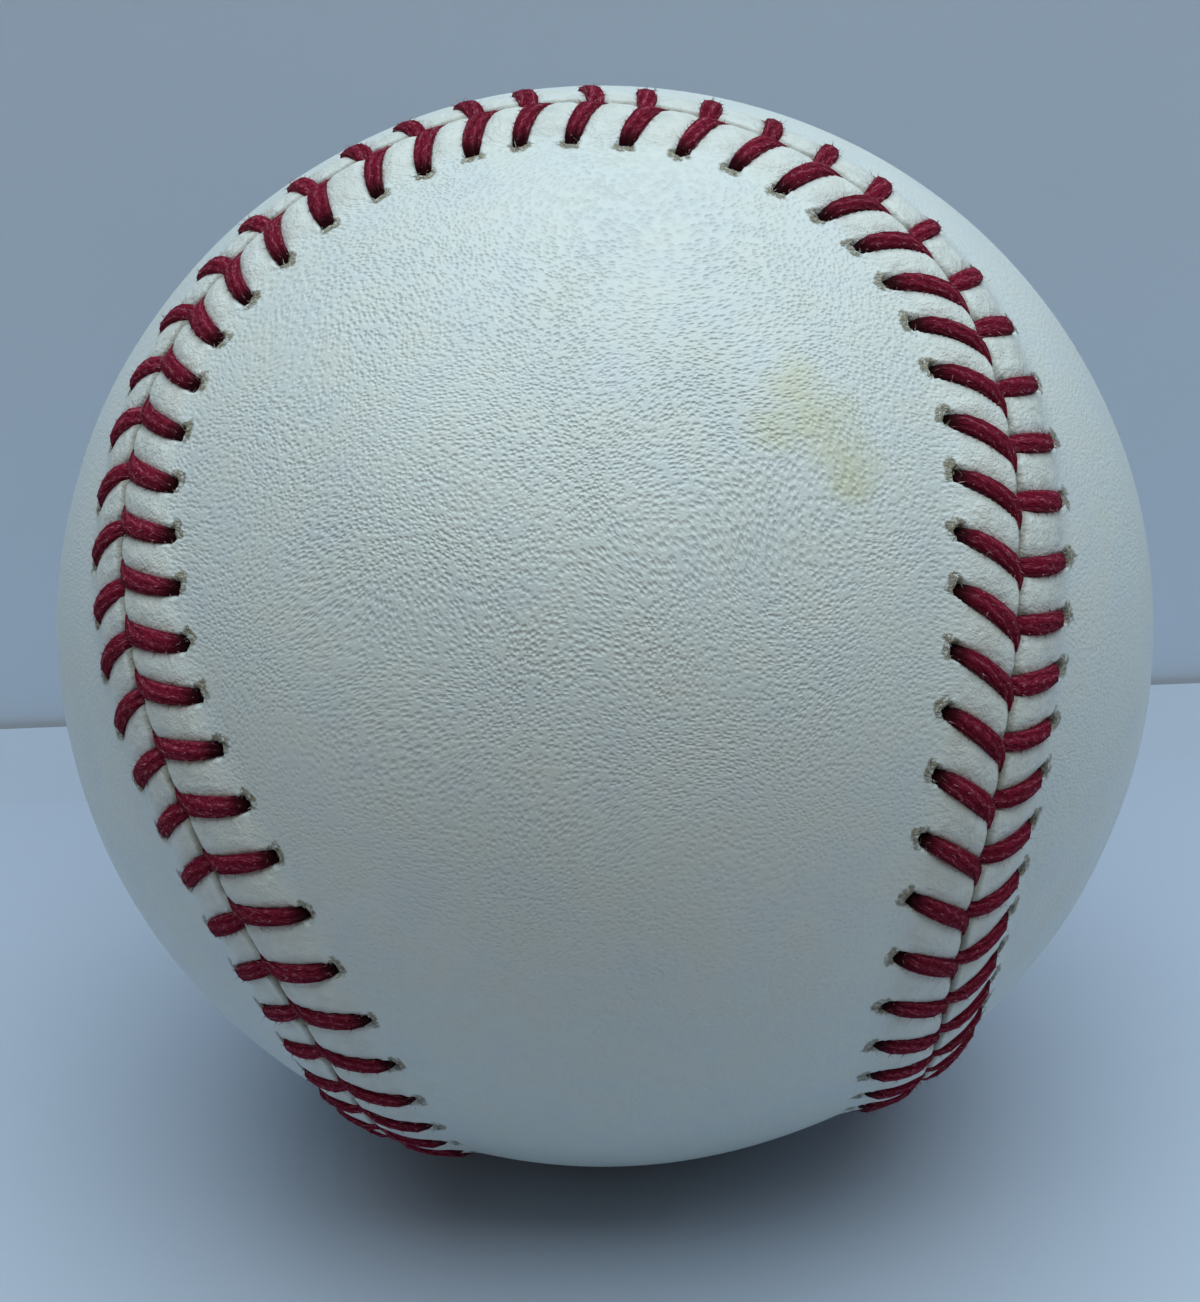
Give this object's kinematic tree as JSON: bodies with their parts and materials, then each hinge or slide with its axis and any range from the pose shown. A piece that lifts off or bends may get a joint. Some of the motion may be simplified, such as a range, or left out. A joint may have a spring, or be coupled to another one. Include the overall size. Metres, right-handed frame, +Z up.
{
  "type": "baseball",
  "caption": "Ball with a cork and rubber core, yarn windings and figure-eight leather panels joined along a V-stitched red seam.",
  "frame": {"origin": "the ball's centre", "axes": "the seam's own axes: panel A has its waist at +Z and its lobes at +X and -X, panel B has its waist at -Z and its lobes at +Y and -Y; +Z up"},
  "size_m": [0.0746, 0.0746, 0.0746],
  "materials": {
    "cork_composition": "matte",
    "black_rubber": "matte",
    "red_rubber": "matte",
    "grey_wool": "matte",
    "white_wool": "matte",
    "finish_yarn": "matte",
    "rubber_cement": "satin",
    "white_leather": "satin",
    "red_thread": "satin"
  },
  "bodies": {
    "root": {"cork_core": "cork_composition", "black_shell_lower": "black_rubber", "black_shell_upper": "black_rubber", "core_gasket": "red_rubber", "red_shell_lower": "red_rubber", "red_shell_upper": "red_rubber", "grey_wool_first": "grey_wool", "white_wool_second": "white_wool", "grey_wool_third": "grey_wool", "finish_yarn": "finish_yarn", "cement_coat": "rubber_cement", "cover_panel_a": "white_leather", "cover_panel_b": "white_leather", "stitch_strand_a": "red_thread", "stitch_strand_b": "red_thread"}
  },
  "joints": []
}
